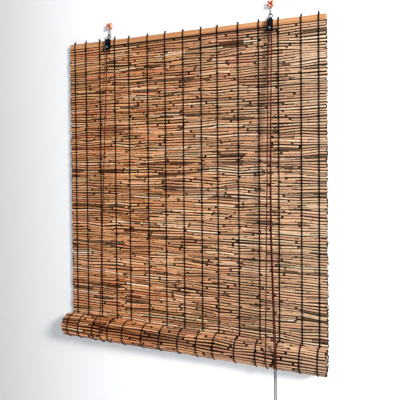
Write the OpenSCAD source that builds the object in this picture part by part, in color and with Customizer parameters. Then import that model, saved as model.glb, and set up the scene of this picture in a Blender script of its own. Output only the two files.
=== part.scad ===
// Reed roll-up blind, hung from two wall hooks and partly rolled up in its two lift cords.
// Frame: wall plane at y = 0 with the room towards -Y, z = 0 at the height of the hook screws.

/* [Blind] */
// Width of the reed mat, the header lath and the bottom rod
blind_w = 800; // [600:10:1200]
// Drop from the top of the header lath to the axis of the roll
drop = 897; // [600:1:1400]
// Height of the hook screws above the top of the header lath
hook_rise = 45; // [44:0.5:60]
// Distance from the wall to the back of the mat
wall_gap = 7; // [6:0.5:20]

/* [Reeds] */
// Diameter of a middling reed
reed_d = 5.8; // [4.8:0.1:7]
// Most that a reed is thicker or thinner than a middling one
reed_vary = 0.25; // [0:0.05:0.3]
// Depth by which the strings press neighbouring reeds together
reed_bite = 0.5; // [0.4:0.05:0.8]
// Number of see-through gaps between reeds
gap_count = 100; // [0:1:120]
// Length of a see-through gap
gap_l = 28; // [10:1:32]
// Height of a see-through gap
gap_h = 1; // [0.6:0.1:1.4]

/* [Warp strings] */
// Width of a string
string_w = 2.4; // [1:0.1:2.5]
// Thickness of a string pulled flat
string_t = 1.7; // [0.8:0.1:1.8]
// Distance of the outer strings from the ends of the reeds
string_inset = 20; // [10:1:40]
// Diameter of the knot that ties a string on top of the header lath
knot_d = 3.4; // [2.8:0.1:5]

/* [Header lath] */
// Height of the header lath
lath_h = 16; // [14:0.5:17]
// Thickness of the header lath
lath_t = 6; // [4:0.5:8]
// Eased edge of the header lath
lath_ease = 0.8; // [0.3:0.1:1.5]

/* [Roll] */
// Outer radius of the rolled reeds
roll_r = 34.2; // [32:0.1:50]
// Turns of mat in the roll
turns = 4; // [2:1:4]
// Room between neighbouring turns
turn_gap = 0.25; // [0.1:0.05:1]

/* [Hangers] */
// Width of a hanger
hanger_w = 14; // [13.5:0.5:20]
// Thickness of the hanger's steel strap and cheek
plate_t = 1.2; // [0.8:0.1:2]
// Height of the strap's front, down from the top of the lath
hanger_h = 33; // [32:0.5:45]
// Height of the strap's lip behind the lath
lip_h = 9; // [5:0.5:9]
// Width across the splayed feet of the right hanger
foot_w = 26; // [20:0.5:30]
// Drop of the sheave axle below the lath
axle_drop = 7.5; // [7.2:0.1:9]
// Drop of the hanger screw below the top of the lath
screw_drop = 8; // [6:0.5:8.5]
// Diameter of the axle and of the screw's shank
pin_d = 3; // [2.5:0.1:3.4]
// Diameter of the head of the axle and of the screw
head_d = 5.6; // [4.5:0.1:6.5]
// Depth of the screw in the lath
screw_bite = 4; // [2:0.5:5]
// Wire diameter of the hanging ring
ring_wire = 3; // [2:0.1:3.4]
// Outer diameter of the hanging ring
ring_d = 12.7; // [12:0.1:16]
// Drop of the ring's centre below the hook screws
ring_drop = 33; // [30:0.5:34]

/* [Sheaves] */
// Outer diameter of a sheave
sheave_d = 10.6; // [10:0.1:11.4]
// Diameter of the cord's centre line round a sheave
sheave_pitch_d = 8; // [7.6:0.1:8.4]
// Distance between the two grooves of a sheave
groove_step = 4.4; // [4.2:0.1:6]
// Side wall outside a groove
sheave_rim = 0.4; // [0.3:0.1:1]

/* [Wall hooks] */
// Radius of a rosette across its four petals
rosette_r = 11; // [10:0.5:14]
// Diameter of a petal
petal_d = 9; // [8:0.1:9.4]
// Height of the boss that holds a rosette off the wall
boss_l = 8; // [7:0.5:12]
// Diameter of the boss
boss_d = 15; // [14:0.5:18]
// Thickness of the rosette's flat back plate
rosette_t = 4; // [3.5:0.5:6]
// Height of the petals above the back plate
petal_h = 2.2; // [1.5:0.1:3]
// Radius of the screw hole in a rosette
screw_hole_r = 2.1; // [1.5:0.1:2.4]
// Wire diameter of the hook
hook_wire_d = 2; // [1.5:0.1:2.6]
// Bend radius of the hook
hook_bend_r = 6; // [5:0.25:7]
// Diameter of the brass collar that holds the wire
collar_d = 5; // [4:0.1:6]
// Length of the brass collar below the boss
collar_l = 4; // [2:0.5:6]

/* [Cords] */
// Diameter of the lift and pull cords
cord_d = 2.8; // [2.6:0.1:3.3]
// Height of the pull cord's end knob
knob_h = 34; // [24:1:50]
// Diameter of the end knob
knob_d = 17; // [14:0.5:24]
// Drop of the end knob below the axis of the roll
knob_drop = 120; // [80:1:300]
// Sideways drift of the pull cord from the middle of the right hanger to the roll
pull_drift = 22; // [12:1:40]
// Distance between the two strands of the pull cord at the roll
strand_step = 5; // [4.8:0.1:8]
// Wire diameter of the staples that hold the lift cords behind the lath
staple_wire = 1.2; // [0.8:0.1:1.4]

/* [Fits] */
// Room between pieces that lie against each other
fit = 0.2; // [0.1:0.05:0.3]
// Room between a cord and what moves along it
cord_fit = 0.3; // [0.2:0.05:0.4]
// Running room round a pin
pin_fit = 0.05; // [0.02:0.01:0.09]

/* [Hidden] */
$fn = 48;
CORD_SIDES = 8;
RING_STEP = 15;
WRAP_STEP = 22.5;
STRING_STEP = 8;
// Overshoot of the shapes that cut holes
CUT = 1;
// Rows left without gaps at the top and at the foot of the mat
MAT_RESERVE = 1;
// Bays from one gap to the next
GAP_STRIDE = 5;
// Turn of the thickness rule from one reed to the next
REED_BEAT = 137;
// Height above the roll's axis, in roll radii, at which the front strings go behind the roll
STRING_TUCK = 0.6;
// Angles round the outer turn at which its strings begin and end
STRING_FROM = 4;
STRING_TO = 300;
// Angle of each turn that runs level before it steps in
LEVEL_PART = 270;
// Gaps between neighbouring warp strings from left to right: hand weaving leaves them uneven
string_gaps = [41, 52, 54, 50, 64, 58, 58, 56, 49, 61, 58, 54, 60, 45];
string_count = len(string_gaps) + 1;

// Sum of the first n numbers of a list
function sum_to(list, n) = n <= 0 ? 0 : list[n - 1] + sum_to(list, n - 1);
function string_x(i) =
    -blind_w / 2 + string_inset
    + (blind_w - 2 * string_inset) * sum_to(string_gaps, i) / sum_to(string_gaps, len(string_gaps));
function bay_mid(i) = (string_x(i) + string_x(i + 1)) / 2;
// The hangers stand the same way out on both sides, each near the middle of the third bay from its end
LEFT_BAY = 2;
RIGHT_BAY = 11;
hanger_x = (bay_mid(RIGHT_BAY) - bay_mid(LEFT_BAY)) / 2;

// Reeds lie on one plane, their thickest flush with the back of the lath
mat_t = reed_d + reed_vary;
reed_step = reed_d - reed_bite;
mat_y = -wall_gap - mat_t / 2;
lath_y = -wall_gap - lath_t / 2;
lath_front = -wall_gap - lath_t;
lath_top = -hook_rise;
lath_bottom = lath_top - lath_h;
front_y = min(lath_front, -wall_gap - mat_t);

// Axis and pitch circle of the roll, whose outer turn runs on from the back of the mat
roll_y = -wall_gap - roll_r;
roll_z = lath_top - drop;
turn_r = roll_r - mat_t / 2;
turn_step = mat_t + turn_gap;
core_r = turn_r - (turns - 1) * turn_step - mat_t / 2;

// Rows of the hanging mat, spread evenly between the lath and the first reed of the roll
first_row_z = lath_bottom - fit - mat_t / 2;
last_row_z = roll_z + mat_t + fit;
row_count = ceil((first_row_z - last_row_z) / reed_step) + 1;
row_step = (first_row_z - last_row_z) / (row_count - 1);
function row_z(i) = first_row_z - i * row_step;
// Reeds differ in thickness, by a rule that never settles into a visible beat
function reed_size(i) = reed_d + reed_vary * sin(i * REED_BEAT);

// The hanger's cheek, sheave and strap stand in front of the lath, one after the other
cord_r = cord_d / 2;
groove_r = cord_r + cord_fit;
sheave_r = sheave_pitch_d / 2;
sheave_w = groove_step + 2 * groove_r + 2 * sheave_rim;
cheek_y = front_y - fit;
sheave_back = cheek_y - plate_t - cord_fit;
sheave_y = sheave_back - sheave_w / 2;
strap_y = sheave_back - sheave_w - cord_fit;
strap_front = strap_y - plate_t;
rear_groove_y = sheave_y + groove_step / 2;
front_groove_y = sheave_y - groove_step / 2;
axle_z = lath_bottom - axle_drop;
hanger_bottom = lath_top - hanger_h;
bridge_z = lath_top + fit;
screw_z = lath_top - screw_drop;
HEAD_H = 1.2;
FOOT_EDGE = 2;

// The ring hangs in the hook's bend, over the middle of the lath
ring_r = (ring_d - ring_wire) / 2;
ring_z = -ring_drop;
hook_z = ring_z + ring_r - ring_wire / 2 - cord_fit - hook_wire_d / 2 + hook_bend_r;
hook_back_y = lath_y + hook_bend_r;
HOOK_TIP_RISE = 4;
WIRE_TOP = -4;
PETAL_LEDGE = 0.4;
petal_off = rosette_r - petal_d / 2;
// The collar seats under the boss
collar_top = -boss_d / 2;

// The lift cords run under the roll in slings and up to the sheaves' left sides
sling_r = roll_r + cord_fit + cord_r;
cord_back_y = roll_y + sling_r;
STAPLE_BITE = 4;
STAPLE_TIP_GAP = 0.5;
STAPLE_BELOW_END = 2.5;
END_BELOW_LIP = 1;
cord_end_z = lath_top - lip_h - END_BELOW_LIP;
staple_z = cord_end_z - STAPLE_BELOW_END;
staple_leg_x = cord_r + cord_fit + staple_wire / 2;
LEAD = 3;
function unit(v) = v / norm(v);
// Elevation, seen along the roll, at which a cord from (y, z) touches the front of the slings' circle
function touch_angle(y, z) =
    atan2(z - roll_z, roll_y - y) - acos(sling_r / norm([y - roll_y, z - roll_z]));
function sling_point(x, e) = [x, roll_y - sling_r * cos(e), roll_z + sling_r * sin(e)];
function sheave_point(x, y, a) = [x + sheave_r * cos(a), y, axle_z + sheave_r * sin(a)];

// The pull cord's two strands hang side by side in front of the roll
pull_y = roll_y - roll_r - fit - string_t - cord_fit - cord_r;
knob_top = roll_z - knob_drop;
KNOB_BORE = 12;
KNOB_WALL = 2;
knob_bore_r = strand_step / 2 + cord_r + cord_fit;
PULL_STRAIGHT = 12;
// Bends of the slack cord above the roll: shares of its drop and of its sideways drift
PULL_BENDS = [[0.3, 0.02], [0.5, 0.1], [0.66, 0.25], [0.82, 0.6], [1, 1]];
function lift_groove_y(side) = side < 0 ? rear_groove_y : front_groove_y;
function pull_x(side) = hanger_x + pull_drift + side * strand_step / 2;
function pull_start(side) = sheave_point(hanger_x, lift_groove_y(side), 0);
function pull_point(side, drop, drift) = [
    hanger_x + sheave_r + drift * (pull_drift - sheave_r) + drop * side * strand_step / 2,
    lift_groove_y(side) + drop * (pull_y - lift_groove_y(side)),
    axle_z + drop * (roll_z + PULL_STRAIGHT - axle_z)
];
function pull_route(side) = [for (b = PULL_BENDS) pull_point(side, b[0], b[1])];
function pull_lead(side) = pull_start(side) + LEAD * unit(pull_route(side)[0] - pull_start(side));

function lift_x(side) = side * hanger_x - sheave_r;
function lift_top(side) = [lift_x(side), lift_groove_y(side), axle_z];
function lift_touch(side) = touch_angle(lift_groove_y(side), axle_z);
function lift_foot(side) = sling_point(lift_x(side), lift_touch(side));
function lift_way(side) = unit(lift_foot(side) - lift_top(side));

STRAW = "peru";
PINE = "burlywood";
THREAD = "black";
ENAMEL = "dimgray";
CORD = "saddlebrown";

// Runs a profile drawn in (y, z) along the blind, centred on x = 0
module along_x(length) {
    rotate([90, 0, 90]) linear_extrude(length, center = true) children();
}

// Plate in the (x, z) plane from its back face at y towards the room
module plate(y, thickness) {
    translate([0, y, 0]) rotate([90, 0, 0]) linear_extrude(thickness) children();
}

// Cylinder from its back end at y towards the room
module pin(x, y, z, length, diameter) {
    translate([x, y, z]) rotate([90, 0, 0]) cylinder(h = length, d = diameter);
}

// Section of the header lath with eased edges
module lath_section() {
    w = lath_t / 2;
    h = lath_h / 2;
    e = lath_ease;
    polygon([
        [-w + e, -h], [w - e, -h], [w, -h + e], [w, h - e],
        [w - e, h], [-w + e, h], [-w, h - e], [-w, -h + e]
    ]);
}

// Round cord swept along points, with rings turned from the direction ref
function cord_way(p, i) =
    i == 0 ? unit(p[1] - p[0])
    : i == len(p) - 1 ? unit(p[i] - p[i - 1])
    : unit(unit(p[i + 1] - p[i]) + unit(p[i] - p[i - 1]));
function cord_ring(p, i, ref) =
    let (way = cord_way(p, i), side = unit(cross(way, ref)), up = cross(side, way))
    [for (k = [0:CORD_SIDES - 1])
        let (a = 360 * (k + 0.5) / CORD_SIDES)
        p[i] + cord_r * (cos(a) * side + sin(a) * up)];
module cord(p, ref = [1, 0, 0]) {
    n = CORD_SIDES;
    last = len(p) - 1;
    rings = [for (i = [0:last]) each cord_ring(p, i, ref)];
    walls = [for (i = [0:last - 1], k = [0:n - 1])
        let (a = i * n + k, b = i * n + (k + 1) % n)
        each [[a, b, b + n], [a, b + n, a + n]]];
    start = [for (k = [0:n - 1]) n - 1 - k];
    end = [for (k = [0:n - 1]) last * n + k];
    color(CORD) polyhedron(rings, concat([start, end], walls), convexity = 10);
}

module header_lath() {
    color(PINE) difference() {
        translate([0, lath_y, lath_top - lath_h / 2]) along_x(blind_w) lath_section();
        for (side = [-1, 1]) {
            pin(side * hanger_x, lath_front + screw_bite, screw_z, screw_bite + CUT, pin_d + 2 * pin_fit);
            for (leg = [-1, 1])
                pin(lift_x(side) + leg * staple_leg_x, -wall_gap + CUT, staple_z, STAPLE_BITE + CUT,
                    staple_wire + 2 * pin_fit);
        }
    }
}

module reed_mat() {
    bays = len(string_gaps);
    color(STRAW) difference() {
        along_x(blind_w)
            for (i = [0:row_count - 1]) translate([mat_y, row_z(i)]) circle(d = reed_size(i));
        for (k = [0:1:gap_count - 1]) {
            row = MAT_RESERVE + floor((k + 0.5) * (row_count - 1 - 2 * MAT_RESERVE) / gap_count);
            translate([bay_mid((k * GAP_STRIDE) % bays), mat_y, row_z(row + 0.5)])
                cube([gap_l, 2 * mat_t, gap_h], center = true);
        }
    }
}

// Each string runs down the front of the mat, over the lath and down the back, tied in a knot on top
module warp_string(i) {
    front = front_y - fit;
    back = -wall_gap + fit;
    top = lath_top + fit;
    front_end = roll_z + STRING_TUCK * roll_r;
    back_end = roll_z + mat_t;
    color(THREAD) translate([string_x(i), 0, 0]) union() {
        along_x(string_w) polygon([
            [front, front_end], [front, top], [back, top], [back, back_end],
            [back + string_t, back_end], [back + string_t, top + string_t],
            [front - string_t, top + string_t], [front - string_t, front_end]
        ]);
        translate([0, lath_y, top + string_t]) sphere(d = knot_d);
    }
}

// Strap of a hanger: a front that carries the axle, a bridge over the lath and a lip behind it
module hanger_strap(side, splay) {
    back = -wall_gap + fit;
    x = side * hanger_x;
    color(ENAMEL) difference() {
        union() {
            translate([x, 0, 0]) along_x(hanger_w) polygon([
                [strap_front, hanger_bottom], [strap_y, hanger_bottom], [strap_y, bridge_z],
                [back, bridge_z], [back, lath_top - lip_h], [back + plate_t, lath_top - lip_h],
                [back + plate_t, bridge_z + plate_t], [strap_front, bridge_z + plate_t]
            ]);
            if (splay) translate([x, 0, 0]) plate(strap_y, plate_t)
                for (way = [0, 1]) mirror([way, 0]) foot();
        }
        pin(x, strap_y + CUT, axle_z, plate_t + 2 * CUT, pin_d + 2 * pin_fit);
        pin(x, strap_y + CUT, screw_z, plate_t + 2 * CUT, pin_d + 2 * pin_fit);
        translate([x, lath_y, bridge_z - CUT]) cylinder(h = plate_t + 2 * CUT, d = pin_d + 2 * pin_fit);
        if (splay) pin(x, strap_y + CUT, hanger_bottom, plate_t + 2 * CUT, hanger_w / 2);
    }
}

// One splayed foot of the right hanger, seen from the front
module foot() {
    polygon([
        [hanger_w / 4, hanger_bottom], [foot_w / 2, hanger_bottom],
        [foot_w / 2, hanger_bottom + FOOT_EDGE], [hanger_w / 2, axle_z], [hanger_w / 4, axle_z]
    ]);
}

// Inner cheek of a hanger, flat against the front of the lath
module hanger_cheek(side) {
    x = side * hanger_x;
    color(ENAMEL) difference() {
        plate(cheek_y, plate_t) union() {
            translate([x - hanger_w / 2, axle_z]) square([hanger_w, lath_top - fit - axle_z]);
            translate([x, axle_z]) circle(d = hanger_w);
        }
        for (z = [axle_z, screw_z]) pin(x, cheek_y + CUT, z, plate_t + 2 * CUT, pin_d + 2 * pin_fit);
    }
}

// Ring with a collar and a stem that is riveted into the strap's bridge
module hanger_ring(side) {
    collar_z = bridge_z + plate_t;
    ring_low = ring_z - ring_r;
    color(ENAMEL) translate([side * hanger_x, lath_y, 0]) union() {
        translate([0, 0, ring_z]) rotate([90, 0, 0])
            rotate_extrude() translate([ring_r, 0]) circle(d = ring_wire);
        translate([0, 0, bridge_z]) cylinder(h = ring_low - bridge_z, d = pin_d);
        translate([0, 0, collar_z]) cylinder(h = (ring_low - collar_z) / 2, d = 2 * pin_d);
    }
}

// Screw through the strap and the cheek into the lath
module hanger_screw(side) {
    x = side * hanger_x;
    color("silver") union() {
        pin(x, lath_front + screw_bite, screw_z, lath_front + screw_bite - strap_front, pin_d);
        pin(x, strap_front, screw_z, HEAD_H, head_d);
    }
}

// Axle of a sheave, headed in front
module sheave_axle(side) {
    x = side * hanger_x;
    color("lightsteelblue") union() {
        pin(x, cheek_y, axle_z, cheek_y - strap_front, pin_d);
        pin(x, strap_front, axle_z, HEAD_H, head_d);
    }
}

// Wheel with two cord grooves
module sheave(side) {
    bore_r = pin_d / 2 + pin_fit;
    color("gray") translate([side * hanger_x, sheave_y, axle_z]) rotate([90, 0, 0])
        rotate_extrude() difference() {
            translate([bore_r, -sheave_w / 2]) square([sheave_d / 2 - bore_r, sheave_w]);
            for (way = [-1, 1]) translate([sheave_r, way * groove_step / 2]) {
                circle(r = groove_r);
                translate([0, -groove_r]) square([sheave_d, 2 * groove_r]);
            }
        }
}

// Four-petalled rosette on a round boss, with a screw hole in the middle and a hole for the hook's wire
module hook_rosette(side) {
    color("chocolate") translate([side * hanger_x, 0, 0]) difference() {
        union() {
            pin(0, 0, 0, boss_l, boss_d);
            plate(-boss_l, rosette_t) union() {
                circle(r = petal_off);
                for (a = [45:90:315]) rotate(a) translate([petal_off, 0]) circle(d = petal_d);
            }
            for (a = [45:90:315]) rotate([0, a, 0]) translate([petal_off, -boss_l - rosette_t, 0]) petal();
        }
        pin(0, CUT, 0, boss_l + rosette_t + 2 * CUT, 2 * screw_hole_r);
        translate([0, hook_back_y, collar_top - CUT])
            cylinder(h = WIRE_TOP - collar_top + CUT, d = hook_wire_d + 2 * pin_fit);
    }
}

// Domed petal that rises from the rosette's back plate, with a narrow ledge round it
module petal() {
    r = petal_d / 2 - PETAL_LEDGE;
    dome_r = (pow(r, 2) + pow(petal_h, 2)) / (2 * petal_h);
    rotate([90, 0, 0]) rotate_extrude() intersection() {
        translate([0, petal_h - dome_r]) circle(r = dome_r);
        translate([0, -CUT]) square([r, petal_h + CUT]);
    }
}

// Brass collar under the rosette's boss, drilled for the wire
module hook_collar(side) {
    base_z = collar_top - fit - collar_l;
    color("darkgoldenrod") translate([side * hanger_x, hook_back_y, base_z]) difference() {
        cylinder(h = collar_l, d = collar_d);
        translate([0, 0, -CUT]) cylinder(h = collar_l + 2 * CUT, d = hook_wire_d + 2 * pin_fit);
    }
}

// Steel wire that comes down from the rosette's boss and turns up in front through the hanger's ring
module hook_wire(side) {
    tip_y = hook_back_y - 2 * hook_bend_r;
    color("silver") translate([side * hanger_x, 0, 0]) union() {
        translate([0, hook_back_y, hook_z]) cylinder(h = WIRE_TOP - fit - hook_z, d = hook_wire_d);
        translate([0, hook_back_y - hook_bend_r, hook_z]) rotate([0, 90, 0]) rotate([0, 0, -90])
            rotate_extrude(angle = 180) translate([hook_bend_r, 0]) circle(d = hook_wire_d);
        translate([0, tip_y, hook_z]) cylinder(h = HOOK_TIP_RISE, d = hook_wire_d);
        translate([0, tip_y, hook_z + HOOK_TIP_RISE]) sphere(d = hook_wire_d);
    }
}

// Staple that pins a lift cord's end to the back of the lath
module cord_staple(side) {
    crown_y = cord_back_y + cord_r + cord_fit;
    leg_l = crown_y + staple_wire + wall_gap + STAPLE_BITE - STAPLE_TIP_GAP;
    color("silver") translate([lift_x(side), 0, staple_z]) union() {
        for (leg = [-1, 1]) pin(leg * staple_leg_x, crown_y + staple_wire, 0, leg_l, staple_wire);
        translate([-staple_leg_x, crown_y, -staple_wire / 2])
            cube([2 * staple_leg_x, staple_wire, staple_wire]);
    }
}

// Front run of a lift cord, from the sheave down to where it touches the roll's front
module lift_cord_front(side) {
    way = lift_way(side);
    cord([lift_top(side) + LEAD * way, lift_foot(side) - LEAD * way]);
}

// Back run of a lift cord, from behind the roll up to its staple
module lift_cord_back(side) {
    cord([
        [lift_x(side), cord_back_y, roll_z + LEAD],
        [lift_x(side), cord_back_y, cord_end_z]
    ]);
}

// Sling that a lift cord makes under the roll
module sling(side) {
    e0 = lift_touch(side);
    steps = ceil((180 + e0) / RING_STEP);
    arc = [for (i = [0:steps]) sling_point(lift_x(side), e0 - (180 + e0) * i / steps)];
    cord(concat(
        [lift_foot(side) - LEAD * lift_way(side)], arc,
        [[lift_x(side), cord_back_y, roll_z + LEAD]]
    ));
}

// Left lift cord on its way over the left sheave, along under the lath and over the right sheave
module cross_cord() {
    cord(concat(
        [lift_top(-1) + LEAD * lift_way(-1)],
        [for (a = [180:-WRAP_STEP:90]) sheave_point(-hanger_x, rear_groove_y, a)],
        [for (a = [90:-WRAP_STEP:0]) sheave_point(hanger_x, rear_groove_y, a)],
        [pull_lead(-1)]
    ), [0, 1, 0]);
}

// Right lift cord over the right sheave
module right_sheave_cord() {
    cord(concat(
        [lift_top(1) + LEAD * lift_way(1)],
        [for (a = [180:-WRAP_STEP:0]) sheave_point(hanger_x, front_groove_y, a)],
        [pull_lead(1)]
    ), [0, 1, 0]);
}

// Strand of the pull cord from the right sheave to the roll's front
module pull_cord_upper(side) {
    cord(concat([pull_lead(side)], pull_route(side), [[pull_x(side), pull_y, roll_z]]));
}

// Strand of the pull cord from the roll's front into the end knob
module pull_cord_lower(side) {
    cord([[pull_x(side), pull_y, roll_z], [pull_x(side), pull_y, knob_top - KNOB_BORE + fit]]);
}

// Turned end knob with one bore for both strands
module pull_knob() {
    neck_r = knob_bore_r + KNOB_WALL;
    color("sienna") translate([hanger_x + pull_drift, pull_y, knob_top - knob_h]) difference() {
        rotate_extrude() intersection() {
            union() {
                translate([0, knob_d / 2]) circle(d = knob_d);
                polygon([[0, knob_d / 2], [knob_d / 2, knob_d / 2], [neck_r, knob_h], [0, knob_h]]);
            }
            square([knob_d, knob_h]);
        }
        translate([0, 0, knob_h - KNOB_BORE]) cylinder(h = KNOB_BORE + CUT, r = knob_bore_r);
    }
}

// Radius of the rolled mat's middle at an angle counted from the back of the roll, downwards and inwards.
// Each turn runs level most of the way round and then steps in under the turn outside it.
function ease(t) = let (c = max(0, min(1, t))) c * c * (3 - 2 * c);
function turn_radius(a) =
    let (turn = floor(a / 360), part = a - 360 * turn)
    turn_r - turn_step * (turn + ease((part - LEVEL_PART) / (360 - LEVEL_PART)));
function turn_slope(a) = (turn_radius(a + 0.5) - turn_radius(a - 0.5)) * 180 / PI;
function roll_point(a, r) = [roll_y + r * cos(a), roll_z - r * sin(a)];
// Angles of the rolled reeds, one reed step apart along the turns
function reed_angles(a, end) =
    a > end ? []
    : concat([a], reed_angles(a + reed_step / norm([turn_radius(a), turn_slope(a)]) * 180 / PI, end));

module reed_roll() {
    angles = reed_angles(0, 360 * (turns - 1) + LEVEL_PART);
    color(STRAW) along_x(blind_w)
        for (i = [0:len(angles) - 1])
            translate(roll_point(angles[i], turn_radius(angles[i])))
                circle(d = reed_size(i + row_count));
}

// Rod at the foot of the mat, the core of the roll
module bottom_rod() {
    color(PINE) translate([0, roll_y, roll_z]) along_x(blind_w) circle(r = core_r - fit);
}

// Strings round the outer turn of the roll
module roll_strings() {
    steps = ceil((STRING_TO - STRING_FROM) / STRING_STEP);
    way = [for (i = [0:steps]) STRING_FROM + (STRING_TO - STRING_FROM) * i / steps];
    lift = mat_t / 2 + fit;
    inner = [for (a = way) roll_point(a, turn_radius(a) + lift)];
    outer = [for (i = [steps:-1:0]) roll_point(way[i], turn_radius(way[i]) + lift + string_t)];
    for (i = [0:string_count - 1])
        color(THREAD) translate([string_x(i), 0, 0]) along_x(string_w) polygon(concat(inner, outer));
}

header_lath();
reed_mat();
for (i = [0:string_count - 1])
    warp_string(i);
hanger_strap(-1, false);  // left_hanger_strap
hanger_strap(1, true);  // right_hanger_strap
hanger_cheek(-1);  // left_hanger_cheek
hanger_cheek(1);  // right_hanger_cheek
hanger_ring(-1);  // left_hanger_ring
hanger_ring(1);  // right_hanger_ring
hanger_screw(-1);  // left_hanger_screw
hanger_screw(1);  // right_hanger_screw
sheave_axle(-1);  // left_sheave_axle
sheave_axle(1);  // right_sheave_axle
sheave(-1);  // left_sheave
sheave(1);  // right_sheave
hook_rosette(-1);  // left_hook_rosette
hook_rosette(1);  // right_hook_rosette
hook_collar(-1);  // left_hook_collar
hook_collar(1);  // right_hook_collar
hook_wire(-1);  // left_hook_wire
hook_wire(1);  // right_hook_wire
cord_staple(-1);  // left_cord_staple
cord_staple(1);  // right_cord_staple
lift_cord_front(-1);  // left_lift_cord_front
lift_cord_front(1);  // right_lift_cord_front
lift_cord_back(-1);  // left_lift_cord_back
lift_cord_back(1);  // right_lift_cord_back
cross_cord();
right_sheave_cord();
sling(-1);  // left_sling
sling(1);  // right_sling
pull_cord_upper(-1);  // left_pull_cord_upper
pull_cord_upper(1);  // right_pull_cord_upper
pull_cord_lower(-1);  // left_pull_cord_lower
pull_cord_lower(1);  // right_pull_cord_lower
pull_knob();
reed_roll();
bottom_rod();
roll_strings();
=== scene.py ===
# %% [markdown]
# # A reed roll-up blind, dressed for the camera
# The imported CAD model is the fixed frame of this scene: metres, the wall at y = 0, the room towards -Y
# and z = 0 at the height of the hook screws. Everything soft or grown, which is reeds, threads and
# cords, is built here in the place of its plain CAD solid. What was sawn, pressed or cast stays as the
# CAD has it and gets its finish.

# %% Load the frame
import math

import bpy
import numpy as np
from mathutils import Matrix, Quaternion, Vector


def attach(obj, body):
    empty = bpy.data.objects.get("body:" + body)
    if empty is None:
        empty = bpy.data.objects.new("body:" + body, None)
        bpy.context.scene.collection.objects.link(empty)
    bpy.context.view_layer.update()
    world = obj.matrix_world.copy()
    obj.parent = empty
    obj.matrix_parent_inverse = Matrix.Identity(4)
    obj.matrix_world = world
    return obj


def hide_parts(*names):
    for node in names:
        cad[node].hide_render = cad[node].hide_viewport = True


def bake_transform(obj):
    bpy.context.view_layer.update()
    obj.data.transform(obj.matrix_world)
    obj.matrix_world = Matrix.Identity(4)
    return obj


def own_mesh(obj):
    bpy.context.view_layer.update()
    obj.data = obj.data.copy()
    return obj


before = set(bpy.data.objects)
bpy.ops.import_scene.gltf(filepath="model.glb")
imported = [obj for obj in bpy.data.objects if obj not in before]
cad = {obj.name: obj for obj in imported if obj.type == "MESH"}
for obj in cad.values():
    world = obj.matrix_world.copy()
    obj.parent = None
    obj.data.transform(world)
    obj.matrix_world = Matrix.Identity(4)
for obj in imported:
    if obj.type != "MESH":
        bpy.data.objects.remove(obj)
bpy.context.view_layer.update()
scene = bpy.context.scene
scene.view_settings.view_transform = "Standard"
SIDES = (("left", -1), ("right", 1))

# %% [markdown]
# ## The camera
# The photograph was taken by hand from the right of the blind, at the height of its middle. Its place,
# turn and lens were found by fitting the known points of the model, such as the ends of the lath and the
# strings, to the picture. The picture was cropped afterwards, so its centre of perspective is off the
# middle, which is what lens shift does.

# %% Camera
CAMERA_PLACE = (0.5288, -1.2698, -0.4231)
YAW, PITCH, ROLL = math.radians(22.83), math.radians(-0.88), math.radians(-0.50)
camera_data = bpy.data.cameras.new("photo_camera")
camera = bpy.data.objects.new("photo_camera", camera_data)
scene.collection.objects.link(camera)
scene.camera = camera
camera_data.sensor_width = 36
camera_data.lens = 42.0
camera_data.shift_x = 0.038
camera_data.shift_y = -0.080
look = Vector((-math.sin(YAW) * math.cos(PITCH), math.cos(YAW) * math.cos(PITCH), math.sin(PITCH)))
camera.rotation_mode = "QUATERNION"
camera.rotation_quaternion = look.to_track_quat("-Z", "Y") @ Quaternion((0, 0, 1), ROLL)
camera.location = CAMERA_PLACE
print("camera looks along", [round(v, 3) for v in look])

# %% [markdown]
# ## Helpers for nodes
# Materials and Geometry Nodes are both trees of nodes. One function adds a node, sets what is fixed
# about it and links or fills its inputs. Another turns the sRGB colour that a paint chart would give
# into the linear one that Blender's sockets hold.


# %% Node helpers
def linear(code):
    """Linear RGBA of an sRGB hex colour."""
    parts = [int(code[i : i + 2], 16) / 255 for i in (1, 3, 5)]
    return [c / 12.92 if c <= 0.04045 else ((c + 0.055) / 1.055) ** 2.4 for c in parts] + [1.0]


def add(tree, kind, inputs=None, stops=(), **settings):
    """A new node. Inputs are values or sockets to link, by identifier, name or number.
    Stops are the places and colours of a ramp."""
    made = tree.nodes.new(kind)
    for name, value in settings.items():
        setattr(made, name, value)
    for key, value in (inputs or {}).items():
        found = [s for s in made.inputs if s.identifier == key]
        found = found or [s for s in made.inputs if s.name == key]
        socket = made.inputs[key] if isinstance(key, int) else found[0]
        if isinstance(value, bpy.types.NodeSocket):
            tree.links.new(value, socket)
        else:
            socket.default_value = value
    for i, (position, code) in enumerate(stops):
        band = made.color_ramp.elements
        element = band[i] if i < len(band) else band.new(position)
        element.position = position
        element.color = linear(code)
    return made


def new_material(name, colour="#808080", **values):
    """A material with the plain values of its shader set: (material, its tree, its shader's inputs)."""
    made = bpy.data.materials.new(name)
    made.use_nodes = True
    sockets = made.node_tree.nodes["Principled BSDF"].inputs
    sockets["Base Color"].default_value = linear(colour)
    for key, value in values.items():
        sockets[key.replace("_", " ")].default_value = value
    return made, made.node_tree, sockets


# %% [markdown]
# ## Dried reed
# Reed is a tall grass. The dried stem has a hard waxy skin with fine fibres along it, a ring-shaped
# joint every hand's breadth or so, and a hollow inside that shows as a dark dot where the stem is cut.
# Stems of one cutting run from cream through tan to a dark red brown, so each stem carries its own tone
# as an attribute, and the material turns that tone, stirred by noise that is stretched along the stem,
# into a colour. The right of the blind is painted paler and greyer, as painted light from the right.
# The stems that lie in the gaps between the outer ones, the cut ends and the hollows are painted dark,
# as painted shade.

# %% Reed material
BROWN_TO_CREAM = (
    (0.0, "#2a1107"), (0.2, "#6e3315"), (0.42, "#a96033"),
    (0.62, "#d18b59"), (0.82, "#e8b083"), (1.0, "#f7ddc1"),
)
GREEN_TO_RED = ((0.0, "#d3d8bc"), (0.3, "#fffdf6"), (0.76, "#ffffff"), (1.0, "#eec6b6"))
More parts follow.
